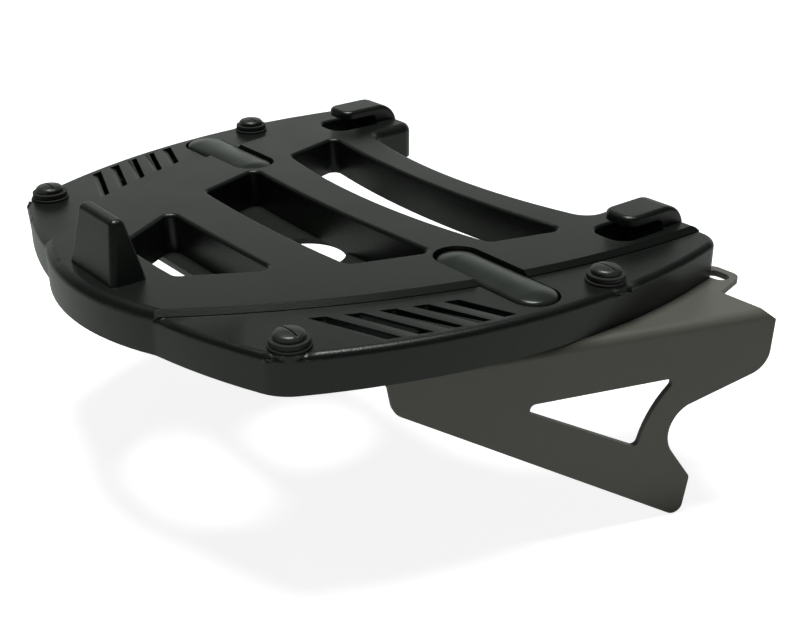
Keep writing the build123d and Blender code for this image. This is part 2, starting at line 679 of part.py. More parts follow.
# Buffers: a rubber ring held by a slotted plug in its boss
for name, (x, y) in buffer_places.items():
    with BuildPart() as buffer_ring:
        with BuildSketch(Plane.XZ):
            with BuildLine():
                Polyline(
                    (PLUG_SHANK_RADIUS + PLUG_CLEARANCE, 0),
                    (BUFFER_RADIUS, 0),
                    (BUFFER_RADIUS, BUFFER_FLANGE),
                    (BUFFER_UPPER_RADIUS - BUFFER_GROOVE, BUFFER_FLANGE),
                    (BUFFER_UPPER_RADIUS - BUFFER_GROOVE, BUFFER_FLANGE + BUFFER_GROOVE),
                    (BUFFER_UPPER_RADIUS, BUFFER_FLANGE + BUFFER_GROOVE),
                    (BUFFER_UPPER_RADIUS, BUFFER_HEIGHT),
                    (PLUG_SHANK_RADIUS + PLUG_CLEARANCE, BUFFER_HEIGHT),
                    close=True,
                )
            make_face()
        revolve()
        rims = buffer_ring.edges().filter_by(GeomType.CIRCLE)
        fillet(rims.sort_by(Axis.Z)[-1:] + rims.sort_by(SortBy.RADIUS)[-1:], radius=BUFFER_ROUND)
    ring_label = f"buffer_ring_{name}"
    ring_part = buffer_ring.part.moved(Location((x, y, -STEP)))
    ring_part.label = ring_label
    export_step(ring_part, f"parts/{ring_label}.step")

    with BuildPart() as buffer_plug:
        with BuildSketch(Plane.XZ):
            with BuildLine():
                plug_crown = TangentArc(
                    (0, BUFFER_HEIGHT + PLUG_HEIGHT),
                    (PLUG_RADIUS - PLUG_EDGE, BUFFER_HEIGHT + PLUG_HEIGHT - PLUG_CROWN),
                    tangent=(1, 0),
                )
                Polyline(
                    plug_crown @ 1,
                    (PLUG_RADIUS, BUFFER_HEIGHT + PLUG_HEIGHT - PLUG_CROWN - PLUG_EDGE),
                    (PLUG_RADIUS, BUFFER_HEIGHT),
                    (PLUG_SHANK_RADIUS, BUFFER_HEIGHT),
                    (PLUG_SHANK_RADIUS, -PLUG_SHANK_LENGTH),
                    (0, -PLUG_SHANK_LENGTH),
                    (0, BUFFER_HEIGHT + PLUG_HEIGHT),
                )
            make_face()
        revolve()
        with BuildSketch(Plane.XY.offset(BUFFER_HEIGHT + PLUG_HEIGHT)):
            Rectangle(PLUG_SLOT_WIDTH, 2 * PLUG_RADIUS - 2 * PLUG_EDGE)
        extrude(amount=-PLUG_SLOT_DEPTH - PLUG_CROWN / 2, mode=Mode.SUBTRACT)
    plug_label = f"buffer_plug_{name}"
    plug_part = buffer_plug.part.moved(Location((x, y, -STEP)))
    plug_part.label = plug_label
    export_step(plug_part, f"parts/{plug_label}.step")

# Fixing screws through plate and web, with washers and lock nuts below the web
web_bottom = LOWEST - SHEET
for name, (x, y) in screw_places.items():
    with BuildPart() as fixing_screw:
        with BuildSketch(Plane.XY.offset(SLOT_FLOOR)):
            with Locations((x, y)):
                Circle(SCREW_HEAD_RADIUS)
        extrude(amount=SCREW_HEAD_HEIGHT)
        fillet(fixing_screw.edges().group_by(Axis.Z)[-1], radius=SCREW_HEAD_ROUND)
        with BuildSketch(Plane.XY.offset(SLOT_FLOOR)):
            with Locations((x, y)):
                Circle(SCREW_RADIUS)
        extrude(amount=-SCREW_LENGTH)
        chamfer(fixing_screw.edges().group_by(Axis.Z)[0], length=SCREW_TIP)
        with BuildSketch(Plane.XY.offset(SLOT_FLOOR + SCREW_HEAD_HEIGHT)):
            with Locations((x, y)):
                RegularPolygon(SCREW_SOCKET_ACROSS / 2, 6, major_radius=False)
        extrude(amount=-SCREW_SOCKET_DEPTH, mode=Mode.SUBTRACT)
    screw_label = f"fixing_screw_{name}"
    fixing_screw.part.label = screw_label
    export_step(fixing_screw.part, f"parts/{screw_label}.step")

    with BuildPart() as washer:
        with BuildSketch(Plane.XY.offset(web_bottom)):
            with Locations((x, y)):
                Circle(WASHER_RADIUS)
                Circle(SCREW_RADIUS + SCREW_CLEARANCE, mode=Mode.SUBTRACT)
        extrude(amount=-WASHER_THICKNESS)
    washer_label = f"washer_{name}"
    washer.part.label = washer_label
    export_step(washer.part, f"parts/{washer_label}.step")

    with BuildPart() as lock_nut:
        with BuildSketch(Plane.XY.offset(web_bottom - WASHER_THICKNESS)):
            with Locations((x, y)):
                RegularPolygon(NUT_ACROSS / 2, 6, major_radius=False)
        extrude(amount=-NUT_HEIGHT)
        with BuildSketch(Plane.XY.offset(web_bottom - WASHER_THICKNESS - NUT_HEIGHT)):
            with Locations((x, y)):
                Circle(NUT_COLLAR_RADIUS)
        extrude(amount=-NUT_COLLAR_HEIGHT)
        with Locations((x, y, web_bottom - WASHER_THICKNESS)):
            Hole(SCREW_RADIUS + THREAD_CLEARANCE)
    nut_label = f"lock_nut_{name}"
    lock_nut.part.label = nut_label
    export_step(lock_nut.part, f"parts/{nut_label}.step")
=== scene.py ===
# %% [markdown]
# # A top case mounting plate
#
# This lesson dresses a finished model: a ribbed plastic plate on a folded steel bracket, which holds a
# luggage case on a motorcycle. The solids come from a CAD program and already have their true sizes.
# Blender's work is the last tenth of a millimetre and the light: worn-looking edges, moulded grain,
# paint, rubber, and the small turned pieces that a CAD solid only sketches. All lengths are in metres, +X
# points forwards, to the two hooks, and +Z points up.

from math import cos, hypot, pi, radians, sin, tan

import bmesh
import bpy
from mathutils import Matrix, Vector
from mathutils.geometry import intersect_point_line
from mathutils.kdtree import KDTree


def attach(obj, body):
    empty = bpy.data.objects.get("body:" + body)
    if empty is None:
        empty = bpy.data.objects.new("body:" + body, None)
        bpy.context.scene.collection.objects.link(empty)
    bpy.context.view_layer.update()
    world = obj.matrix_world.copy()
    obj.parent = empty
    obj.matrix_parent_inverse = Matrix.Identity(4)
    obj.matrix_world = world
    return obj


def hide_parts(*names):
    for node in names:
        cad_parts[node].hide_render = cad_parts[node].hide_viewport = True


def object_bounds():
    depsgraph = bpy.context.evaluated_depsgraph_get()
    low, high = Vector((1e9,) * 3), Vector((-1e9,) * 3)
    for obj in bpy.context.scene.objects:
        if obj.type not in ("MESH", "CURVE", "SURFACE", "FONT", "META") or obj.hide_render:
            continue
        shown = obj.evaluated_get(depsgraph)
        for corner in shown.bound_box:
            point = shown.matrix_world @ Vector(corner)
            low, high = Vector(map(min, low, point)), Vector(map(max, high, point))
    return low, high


MM = 0.001
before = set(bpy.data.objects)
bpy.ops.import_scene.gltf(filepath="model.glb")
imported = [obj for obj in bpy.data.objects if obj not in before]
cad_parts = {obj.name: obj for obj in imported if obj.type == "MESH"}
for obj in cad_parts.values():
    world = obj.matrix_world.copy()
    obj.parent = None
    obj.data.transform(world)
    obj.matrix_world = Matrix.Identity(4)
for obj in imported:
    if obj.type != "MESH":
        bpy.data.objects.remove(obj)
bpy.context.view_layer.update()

# %% [markdown]
# ## Where the camera stands
#
# The photograph was taken from behind and to the right, looking down by about 26 degrees. The camera's
# place was worked out from the plate's own proportions. It is made first, because every later choice is
# judged through it.

# %% Camera
CAMERA_PLACE = (-0.35884, -0.48798, 0.22524)
CAMERA_TURN = (radians(64.341), 0.0, radians(-38.953))
CAMERA_LENS = 56.775  # millimetres, on a sensor 36 wide

camera_data = bpy.data.cameras.new("camera")
camera_data.sensor_width = 36.0
camera_data.lens = CAMERA_LENS
camera = bpy.data.objects.new("camera", camera_data)
camera.location = CAMERA_PLACE
camera.rotation_euler = CAMERA_TURN
bpy.context.scene.collection.objects.link(camera)
bpy.context.scene.camera = camera
print("camera at", tuple(camera.location))

# %% [markdown]
# ## Node sums that read like sums
#
# A finish is easier to read as `cloud * 0.6 + grain * 0.4` than as a web of nodes. `Link` wraps one
# socket, and each operator adds the Math node for it. `Graph` wraps a whole tree, of a material, of the
# world or of a modifier, and has a single method for any other node. `Finish` is the graph of one
# material.


# %% Sockets that can be added and multiplied
class Link:
    """One output socket of a tree, ready to be used in sums."""

    def __init__(self, graph, socket):
        self.graph = graph
        self.socket = socket

    def sum(self, operation, *values):
        return self.graph.node("ShaderNodeMath", {"operation": operation}, dict(enumerate(values)))

    def __add__(self, other):
        return self.sum("ADD", self, other)

    def __radd__(self, other):
        return self.sum("ADD", other, self)

    def __mul__(self, other):
        return self.sum("MULTIPLY", self, other)

    def __rmul__(self, other):
        return self.sum("MULTIPLY", other, self)

    def __abs__(self):
        return self.sum("ABSOLUTE", self)


class Graph:
    """A tree of nodes that takes values and links alike."""

    def __init__(self, tree):
        self.tree = tree

    def node(self, kind, settings=None, sockets=None, out=0):
        """Add a node: its settings first, then a value or a link for each socket."""
        made = self.tree.nodes.new(kind)
        for key, value in (settings or {}).items():
            setattr(made, key, value)
        for key, value in (sockets or {}).items():
            self.plug(made.inputs[key], value)
        return Link(self, made.outputs[out])

    def plug(self, socket, value):
        """Give a socket its link, its list of links, or its value."""
        if isinstance(value, Link):
            self.tree.links.new(value.socket, socket)
        elif isinstance(value, list):
            for link in value:
                self.plug(socket, link)
        elif socket.type == "RGBA":
            socket.default_value = (*value, 1.0)
        else:
            socket.default_value = value


# %% [markdown]
# ## What every finish needs
#
# Every finish here varies a little over its surface, because a plain colour looks like a drawing. The
# patterns are noises on object coordinates, so they have the same grain on a large piece as on a small
# one. A noise rarely leaves the middle of its range, so the gloss is spread over that part only.

# %% Finishes
NOISE_LOW, NOISE_HIGH = 0.3, 0.7


class Finish(Graph):
    """One material, built round a Principled shader."""

    def __init__(self, name, **constants):
        self.material = bpy.data.materials.new(name)
        self.material.use_nodes = True
        super().__init__(self.material.node_tree)
        self.shader = self.tree.nodes["Principled BSDF"]
        for socket, value in constants.items():
            self.set(socket, value)

    def set(self, socket, value):
        self.plug(self.shader.inputs[socket], value)

    def place(self):
        return self.node("ShaderNodeTexCoord", out="Object")

    def noise(self, size, detail=3.0):
        """Soft spots about `size` metres across."""
        sockets = {"Vector": self.place(), "Scale": 1.0 / size, "Detail": detail}
        return self.node("ShaderNodeTexNoise", {"noise_dimensions": "3D"}, sockets)

    def pits(self, size):
        """Small pits about `size` metres apart."""
        return self.node("ShaderNodeTexVoronoi", {}, {"Vector": self.place(), "Scale": 1.0 / size})

    def spread(self, value, start, end, low=0.0, high=1.0):
        """Carry a value from the range start-end to the range low-high."""
        sockets = {"Value": value, "From Min": start, "From Max": end, "To Min": low, "To Max": high}
        return self.node("ShaderNodeMapRange", {"clamp": True}, sockets)

    def mix(self, factor, first, second):
        """A colour between two others."""
        return self.node("ShaderNodeMix", {"data_type": "RGBA"}, {0: factor, 6: first, 7: second}, out=2)

    def colour(self, pattern, dark, light):
        self.set("Base Color", self.mix(pattern, dark, light))

    def gloss(self, pattern, smooth, rough):
        self.set("Roughness", self.spread(pattern, NOISE_LOW, NOISE_HIGH, smooth, rough))

    def relief(self, height, depth, strength):
        """Bump of a given depth in metres."""
        sockets = {"Height": height, "Distance": depth, "Strength": strength}
        self.set("Normal", self.node("ShaderNodeBump", {}, sockets))


# %% [markdown]
# ## Moulded nylon
#
# The plate is glass-filled nylon with a fine spark-eroded grain. It could be one dark colour, but the
# grain is what keeps it from looking like paint: tiny pits less than a millimetre apart that break up
# every highlight. A second, broader noise carries the slight cloudiness of moulded nylon, in colour and
# in gloss.

# %% Nylon
nylon = Finish("nylon", Roughness=0.5, IOR=1.5)
cloud = nylon.noise(0.03, detail=4.0)
grain = nylon.noise(0.0006, detail=2.0)
nylon.colour(cloud * 0.6 + grain * 0.4, dark=(0.0045, 0.0062, 0.005), light=(0.0075, 0.0095, 0.008))
nylon.gloss(cloud * 0.5 + grain * 0.5, smooth=0.30, rough=0.39)
nylon.relief(nylon.pits(0.0007) + grain * 0.7, depth=0.00008, strength=0.5)
print("nylon:", len(nylon.tree.nodes), "nodes")

# %% [markdown]
# ## Satin covers and painted sheet
#
# The covers come from a smoother mould than the plate, so they shine more. The bracket is painted steel:
# the paint lies a little uneven, like orange peel, over the flat sheet. Under the plate the web lies in
# the plate's shadow, and that shade is painted in: the paint is darkened there to nearly black, while the
# arms and flanges outside keep the paint's own dark grey. So the colour changes with the distance from the
# middle.

# %% Cover plastic and paint
# Painted shade: within these distances from the middle the paint turns from its own grey to nearly black.
SHADE_FULL_TO, SHADE_GONE_FROM = 0.100, 0.124  # distances from the middle
PAINTED_SHADE = (0.018, 0.020, 0.018)

cover_plastic = Finish("cover_plastic", Roughness=0.34)
film = cover_plastic.noise(0.02)
cover_plastic.colour(film, dark=(0.018, 0.021, 0.018), light=(0.026, 0.029, 0.025))
cover_plastic.gloss(film, smooth=0.24, rough=0.34)
cover_plastic.relief(cover_plastic.noise(0.0008, detail=2.0), depth=0.00003, strength=0.4)

paint = Finish("paint", Roughness=0.4)
peel = paint.noise(0.0022, detail=2.0)
haze = paint.noise(0.05, detail=4.0)
sideways = paint.node("ShaderNodeSeparateXYZ", {}, {"Vector": paint.place()}, out="Y")
# Painted shade under the plate, where its shadow falls on the web: the paint is darker towards the middle.
out_of_shade = paint.spread(abs(sideways), SHADE_FULL_TO, SHADE_GONE_FROM)
unshaded_paint = paint.mix(haze, (0.124, 0.119, 0.105), (0.144, 0.137, 0.122))
paint.colour(out_of_shade, dark=PAINTED_SHADE, light=unshaded_paint)
paint.gloss(haze * 0.7 + peel * 0.3, smooth=0.34, rough=0.46)
paint.relief(peel, depth=0.00006, strength=0.35)
print("cover plastic and paint:", len(cover_plastic.tree.nodes), "and", len(paint.tree.nodes), "nodes")

# %% [markdown]
# ## Rubber, plugs and plating
#
# The buffers' rings are matt rubber with a faint bloom, and the plugs that hold them are smooth black
# plastic, scuffed by the case. The screws, washers and nuts are plated steel, patchy as zinc is after
# some years.

# %% Finishes of the small pieces
rubber = Finish("rubber", Roughness=0.75)
bloom = rubber.noise(0.006, detail=4.0)
rubber.colour(bloom, dark=(0.012, 0.013, 0.012), light=(0.024, 0.025, 0.023))
rubber.gloss(bloom, smooth=0.62, rough=0.85)
rubber.relief(rubber.noise(0.0005, detail=2.0), depth=0.00005, strength=0.5)

plug_plastic = Finish("plug_plastic", Roughness=0.35)
scuff = plug_plastic.noise(0.003, detail=4.0)
plug_plastic.colour(scuff, dark=(0.02, 0.021, 0.02), light=(0.034, 0.035, 0.033))
plug_plastic.gloss(scuff, smooth=0.28, rough=0.46)

plating = Finish("plating", Roughness=0.4, Metallic=1.0)
patch = plating.noise(0.004, detail=4.0)
plating.colour(patch, dark=(0.46, 0.46, 0.45), light=(0.62, 0.62, 0.6))
plating.gloss(patch, smooth=0.3, rough=0.5)
print("small pieces:", [finish.material.name for finish in (rubber, plug_plastic, plating)])

# %% [markdown]
# ## Taking a solid over
#
# A CAD solid arrives as loose triangles, each shaded flat. Its shape is right, so the plate and the
# bracket are not modelled again: a copy is welded together, its flat faces are merged, and every edge
# that turns by more than about 30 degrees gets a small bevel, as moulded and stamped edges have. Then the
# light runs smoothly over the curves.

# %% Welded copy with small edge rounds
WELD = 0.001 * MM
FLAT_TURN = radians(0.2)
SHARP_TURN = radians(32)
EDGE_ROUND = 0.3 * MM


def linked(name, mesh):
    """A new object in the scene, at the origin."""
    made = bpy.data.objects.new(name, mesh)
    bpy.context.scene.collection.objects.link(made)
    return made


def evaluated(maker, name):
    """The plain mesh that an object's modifiers make, as a new object at the origin."""
    graph = bpy.context.evaluated_depsgraph_get()
    made = linked(name, bpy.data.meshes.new_from_object(maker.evaluated_get(graph)))
    for modifier in list(maker.modifiers):
        maker.modifiers.remove(modifier)
    bpy.data.objects.remove(maker)
    return made


def welded(node, name, place=(0, 0, 0)):
    """A node's mesh with its triangles welded and its flats merged, moved so that place is the origin."""
    work = bmesh.new()
    work.from_mesh(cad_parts[node].data)
    bmesh.ops.translate(work, verts=work.verts, vec=-Vector(place))
    bmesh.ops.remove_doubles(work, verts=work.verts, dist=WELD)
    bmesh.ops.dissolve_limit(work, angle_limit=FLAT_TURN, verts=work.verts, edges=work.edges)
    bmesh.ops.connect_verts_concave(work, faces=work.faces)
    mesh = bpy.data.meshes.new(name)
    work.to_mesh(mesh)
    work.free()
    return linked(name + "_maker", mesh)


def soften(maker, round_size):
    """A small bevel on every sharp edge."""
    bevel = maker.modifiers.new("edges", "BEVEL")
    bevel.width = round_size
    bevel.segments = 2
    bevel.limit_method = "ANGLE"
    bevel.angle_limit = SHARP_TURN
    bevel.use_clamp_overlap = True
    bevel.miter_outer = "MITER_ARC"


def shaded(rough):
    """Smooth shading, broken at sharp edges, with flat faces kept flat."""
    work = bmesh.new()
    work.from_mesh(rough.data)
    for face in work.faces:
        face.smooth = True
    for edge in work.edges:
        edge.smooth = edge.calc_face_angle(0.0) < SHARP_TURN
    work.to_mesh(rough.data)
    work.free()
    name = rough.name
    rough.name = name + "_rough"
    flatter = rough.modifiers.new("flatter", "WEIGHTED_NORMAL")
    flatter.keep_sharp = True
    return evaluated(rough, name)


def hand_over(made, slot_name, *nodes):
    """Let a finished piece stand for its solids, on the part's one body."""
    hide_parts(*nodes)
    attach(made, "root")
    print(made.name, "takes over", len(nodes), "solid(s),", len(made.data.polygons), "faces")
    return made


def taken_over(node, name, finish, slot_name, round_size, change=None):
    """A large piece: its solid welded, changed where it is asked for, softened, shaded and finished."""
    maker = welded(node, name)
    if change:
        change(maker.data)
    soften(maker, round_size)
    made = shaded(evaluated(maker, name))
    made.data.materials.append(finish.material)
    return hand_over(made, slot_name, node)


# %% [markdown]
# ## A rim that is really round
#
# The rounding along the wings is where the eye reads the plate's shape, because a dark band runs along
# it. The solid's own facets are coarse there: some span the whole quarter round. They are cut finer, and
# every new point moves out to the true round, whose centre line runs straight below the edge of the flat
# top. Remodelling the wings would do it too, but then their outline could drift from the solid's.

# %% Which facets are the rim, and where its round has its centre
RIM_ROUND = 3.2 * MM
WING_TOP = -2.5 * MM
WING_FOOT = WING_TOP - RIM_ROUND
SLACK = 0.05 * MM  # how far a facet may reach past the rounding
HAIR = 0.01 * MM  # nearer than this is the same place
TAIL_HALF = 70 * MM  # nearer the middle, the edge belongs to the tail, which keeps its facets
REAR_BEND, FRONT_BEND = -118 * MM, 108 * MM  # beyond these the rim also faces rearwards or forwards
SIDE_SHARE = 0.35
RIM_TILT = (0.01, 0.9999)  # upward part of a rim facet's normal
NEAREST = 10  # pieces of the centre line that are tried for a place
rim_lines = []


def on_rim(heights, normal, middle):
    """Whether a facet, by its corners' heights, belongs to the rounding that runs round the wings."""
    low, high = min(heights), max(heights)
    if low < WING_FOOT - SLACK or high > WING_TOP + SLACK or high - low < HAIR:
        return False
    to_side = abs(normal.y) > SIDE_SHARE * hypot(normal.x, normal.y)
    at_end = middle.x < REAR_BEND or middle.x > FRONT_BEND
    tilted = RIM_TILT[0] < normal.z < RIM_TILT[1]
    return tilted and abs(middle.y) > TAIL_HALF and (to_side or at_end)


def line_finder():
    """Finds the pieces of the rounding's centre line that lie near a place."""
    finder = KDTree(len(rim_lines))
    for index, (start, end) in enumerate(rim_lines):
        finder.insert((start + end) / 2, index)
    finder.balance()
    return finder


def rim_centre(place, finder):
    """Nearest point of the rounding's centre line, which runs below the edge of the flat top."""
    level = Vector((place.x, place.y, WING_FOOT))
    near = []
    for _, index, _ in finder.find_n(level, NEAREST):
        start, end = rim_lines[index]
        part = intersect_point_line(level, start, end)[1]
        near.append(start.lerp(end, min(1.0, max(0.0, part))))
    return min(near, key=lambda centre: (place - centre).length)


def outside(place, centre):
    """Whether a place lies on the outer side of the centre line, as the whole rounding does."""
    return (place - centre).xy.dot(centre.xy) > -HAIR * centre.xy.length


# %% [markdown]
# ## Points and normals of the rim
#
# Two things make a round look round: where its points lie, and which way its normals point. The points
# can only be as many as the mesh can bear, so the normals do the rest: each one is set straight out from
# the centre line. The flat pads of the buffers cut into the rounding and keep their own shape.

# %% Rounder rim
LONG_EDGE, RISING_EDGE = 0.8 * MM, 0.3 * MM  # an edge this long, that rises so much, is too coarse
RIM_CUTS = 4
RIM_REACH = (0.6 * RIM_ROUND, 1.05 * RIM_ROUND)  # distances from the centre line of points that move
NORMAL_REACH = 0.12 * MM  # how far off the true round a corner may lie and still get its normal
BUFFER_PAD = 10.3 * MM


def node_place(name):
    """Middle of a solid seen from above, at the height of the origin."""
    corners = [Vector(corner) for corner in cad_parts[name].bound_box]
    middle = sum(corners, Vector()) / len(corners)
    return (middle.x, middle.y, 0.0)


def by_buffer(place):
    return any((place - middle).xy.length < BUFFER_PAD for middle in buffer_middles)


def rounder_rim(mesh):
    """Cut the rim's coarse facets finer and move the new points out to the true round."""
    work = bmesh.new()
    work.from_mesh(mesh)
    work.normal_update()
    band, ahead = set(), set()
    for face in work.faces:
        middle = face.calc_center_median()
        if on_rim([corner.co.z for corner in face.verts], face.normal, middle):
            band.add(face)
            if middle.x > REAR_BEND:
                ahead.add(face)
    coarse = []
    for edge in work.edges:
        ends = [end.co for end in edge.verts]
        level = all(abs(end.z - WING_TOP) < HAIR for end in ends)
        if level and sum(face in band for face in edge.link_faces) == 1:
            rim_lines.append([Vector((end.x, end.y, WING_FOOT)) for end in ends])
        rising = abs(ends[0].z - ends[1].z) > RISING_EDGE
        if rising and edge.calc_length() > LONG_EDGE and any(face in ahead for face in edge.link_faces):
            coarse.append(edge)
    kept = set(work.verts)
    bmesh.ops.subdivide_edges(work, edges=coarse, cuts=RIM_CUTS, use_grid_fill=True)
    finder = line_finder()
    moved = 0
    for point in work.verts:
        if point in kept or by_buffer(point.co):
            continue
        centre = rim_centre(point.co, finder)
        out = point.co - centre
        if RIM_REACH[0] < out.length < RIM_REACH[1] and outside(point.co, centre):
            point.co = centre + out.normalized() * RIM_ROUND
            moved += 1
    work.to_mesh(mesh)
    work.free()
    print("rim:", len(band), "facets,", len(coarse), "edges cut,", moved, "points moved out")


def true_normals(mesh):
    """On the rim, point each normal straight out from the centre line, as on the true round."""
    finder = line_finder()
    normals = [corner.vector.copy() for corner in mesh.corner_normals]
    changed = 0
    for face in mesh.polygons:
        heights = [mesh.vertices[index].co.z for index in face.vertices]
        if not on_rim(heights, face.normal, face.center):
            continue
        for corner in face.loop_indices:
            place = mesh.vertices[mesh.loops[corner].vertex_index].co
            centre = rim_centre(place, finder)
            out = place - centre
            if abs(out.length - RIM_ROUND) < NORMAL_REACH and outside(place, centre):
                normals[corner] = out.normalized()
                changed += 1
    mesh.normals_split_custom_set([tuple(normal) for normal in normals])
    print("rim:", changed, "corners with true normals")


buffer_middles = [Vector(node_place(name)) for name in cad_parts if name.startswith("buffer_ring")]
plate = taken_over("moulded_plate", "plate", nylon, "moulded_nylon", EDGE_ROUND, rounder_rim)
true_normals(plate.data)

# %% [markdown]
# ## The bracket
#
# The bracket was cut from sheet, folded and painted. Its bends are already finely faceted and could only
# lose by a change, so its edges are softened, as paint rounds them, and the rest stays.

# %% Bracket
taken_over("bracket", "bracket_sheet", paint, "painted_steel", EDGE_ROUND)

# %% [markdown]
# ## Crowned covers
#
# Each slot cover is a thin cap, glossier than the plate, and its crown follows its outline all the way
# round. That makes the bright line along its front edge turn the corner at the inner end. Bevels on a
# solid with flat ends can't give such a line, so the cap is laid up ring by ring: under the ceiling, down
# the inside of the wall, round the foot, up the outside, over the shoulder and in to the spine.

# %% Covers
COVER_HALF_WIDTH = 10.8 * MM
COVER_SHIFT = 0.2 * MM
COVER_ENDS = (87.0 * MM, 136.5 * MM)
COVER_TOP = -0.1 * MM
COVER_CEILING = -4.7 * MM
COVER_FOOT = -9.5 * MM
COVER_WALL = 1.8 * MM
SHOULDER = 2.4 * MM
SHOULDER_TURN = radians(75)
SHOULDER_STEPS, CROWN_STEPS, END_STEPS = 7, 10, 24


def steps(count):
    """Even parts of 1, without 0."""
    return [step / count for step in range(1, count + 1)]


def cover_profile():
    """Pairs of inset and height, from the spine under the ceiling to the spine on top."""
    inset = SHOULDER * (1 - cos(SHOULDER_TURN))
    reach = COVER_HALF_WIDTH - inset
    crown = reach / tan(SHOULDER_TURN) / 2
    base = COVER_TOP - crown - SHOULDER * sin(SHOULDER_TURN)
    under = [(COVER_HALF_WIDTH, COVER_CEILING), (COVER_WALL, COVER_CEILING), (COVER_WALL, COVER_FOOT)]
    foot = [(0.0, COVER_FOOT), (0.0, base)]
    turns = [SHOULDER_TURN * part for part in steps(SHOULDER_STEPS)]
    shoulder = [(SHOULDER * (1 - cos(turn)), base + SHOULDER * sin(turn)) for turn in turns]
    top = [(inset + reach * part, COVER_TOP - crown * (1 - part) ** 2) for part in steps(CROWN_STEPS)]
    return under + foot + shoulder + top


def slot_ring(inset, height, ends):
    """Points round a slot shape that lies along Y, seen from above."""
    half_width = COVER_HALF_WIDTH - inset
    ring = []
    for middle, start in ((ends[1], 0.0), (ends[0], pi)):
        for step in range(END_STEPS + 1):
            angle = start + pi * step / END_STEPS
            ring.append((COVER_SHIFT + half_width * cos(angle), middle + half_width * sin(angle), height))
    return ring


def crowned_cover(side, ends):
    """One cap, laid up ring by ring between the middles of its two round ends."""
    work = bmesh.new()
    rings = [[work.verts.new(point) for point in slot_ring(*pair, ends)] for pair in cover_profile()]
    count = len(rings[0])
    for lower, upper in zip(rings, rings[1:]):
        for index in range(count):
            after = (index + 1) % count
            work.faces.new((lower[index], lower[after], upper[after], upper[index]))
    bmesh.ops.remove_doubles(work, verts=work.verts, dist=WELD)
    bmesh.ops.recalc_face_normals(work, faces=work.faces)
    mesh = bpy.data.meshes.new("cover_" + side)
    work.to_mesh(mesh)
    work.free()
    made = shaded(linked("cover_" + side, mesh))
    made.data.materials.append(cover_plastic.material)
    return hand_over(made, "cover_plastic", "slot_cover_" + side)


crowned_cover("left", COVER_ENDS)
crowned_cover("right", (-COVER_ENDS[1], -COVER_ENDS[0]))

# %% [markdown]
# ## Small pieces, set out in pairs
#
# Four buffers, four plugs, four screws with their washers and lock nuts: each kind is one moulding or one
# bought piece, used four times. So each is shaped once, at the origin, and one node tree sets it out: a
# line from the first place to the second, and its mirror image on the other side of the plate. The tree
# also winds a thread round the piece where it is asked for turns, which only the screws are. The thread
# is a spiral with a three-cornered ridge swept along it.

# %% Node tree that sets out a small piece
GIVEN = (
    ("First place", "NodeSocketVector", (0, 0, 0)),
    ("Second place", "NodeSocketVector", (0, 0, 0)),
    ("Thread turns", "NodeSocketFloat", 0.0),
    ("Thread radius", "NodeSocketFloat", 3.0 * MM),
    ("Thread length", "NodeSocketFloat", 10.0 * MM),
    ("Thread end", "NodeSocketVector", (0, 0, 0)),
    ("Ridge", "NodeSocketFloat", 0.3 * MM),
)


def set_out_tree():
    """The tree, with a named input for each size and place."""
    tree = bpy.data.node_groups.new("set_out", "GeometryNodeTree")
    tree.interface.new_socket("Geometry", in_out="INPUT", socket_type="NodeSocketGeometry")
    for name, kind, value in GIVEN:
        tree.interface.new_socket(name, in_out="INPUT", socket_type=kind).default_value = value
    tree.interface.new_socket("Finish", in_out="INPUT", socket_type="NodeSocketMaterial")
    tree.interface.new_socket("Geometry", in_out="OUTPUT", socket_type="NodeSocketGeometry")
    graph = Graph(tree)
    inputs = tree.nodes.new("NodeGroupInput").outputs
    given = {socket.name: Link(graph, socket) for socket in inputs if socket.name}

    spiral_sockets = {
        "Resolution": 20,
        "Rotations": given["Thread turns"],
        "Start Radius": given["Thread radius"],
        "End Radius": given["Thread radius"],
        "Height": given["Thread length"],
    }
    spiral = graph.node("GeometryNodeCurveSpiral", {}, spiral_sockets)
    ridge_sockets = {"Resolution": 3, "Radius": given["Ridge"]}
    ridge = graph.node("GeometryNodeCurvePrimitiveCircle", {"mode": "RADIUS"}, ridge_sockets)
    wound = graph.node("GeometryNodeCurveToMesh", {}, {"Curve": spiral, "Profile Curve": ridge})
    thread_sockets = {"Geometry": wound, "Translation": given["Thread end"]}
    thread = graph.node("GeometryNodeTransform", {}, thread_sockets)
    wanted = graph.node("FunctionNodeCompare", {"operation": "GREATER_THAN"}, {"A": given["Thread turns"]})
    choice_sockets = {"Switch": wanted, "True": thread}
    choice = graph.node("GeometryNodeSwitch", {"input_type": "GEOMETRY"}, choice_sockets)
    piece = graph.node("GeometryNodeJoinGeometry", {}, {0: [choice, given["Geometry"]]})

    line_sockets = {"Count": 2, "Start Location": given["First place"], "Offset": given["Second place"]}
    line = graph.node("GeometryNodeMeshLine", {"mode": "END_POINTS"}, line_sockets)
    other_side = graph.node("GeometryNodeTransform", {}, {"Geometry": line, "Scale": (1.0, -1.0, 1.0)})
    both = graph.node("GeometryNodeJoinGeometry", {}, {0: [line, other_side]})
    copies = graph.node("GeometryNodeInstanceOnPoints", {}, {"Points": both, "Instance": piece})
    real = graph.node("GeometryNodeRealizeInstances", {}, {"Geometry": copies})
    finished = graph.node("GeometryNodeSetMaterial", {}, {"Geometry": real, "Material": given["Finish"]})
    graph.plug(tree.nodes.new("NodeGroupOutput").inputs[0], finished)
    return tree


set_out = set_out_tree()
print("set_out:", len(set_out.nodes), "nodes")


# %% [markdown]
# ## From one shaped piece to four
#
# Only the first solid of each kind is taken over. It is moved to the origin, softened there and handed to
# the tree. A modifier keeps its inputs under the identifiers of the tree's sockets, so they are looked up
# by name. The result is turned into one plain mesh that stands for all four solids.

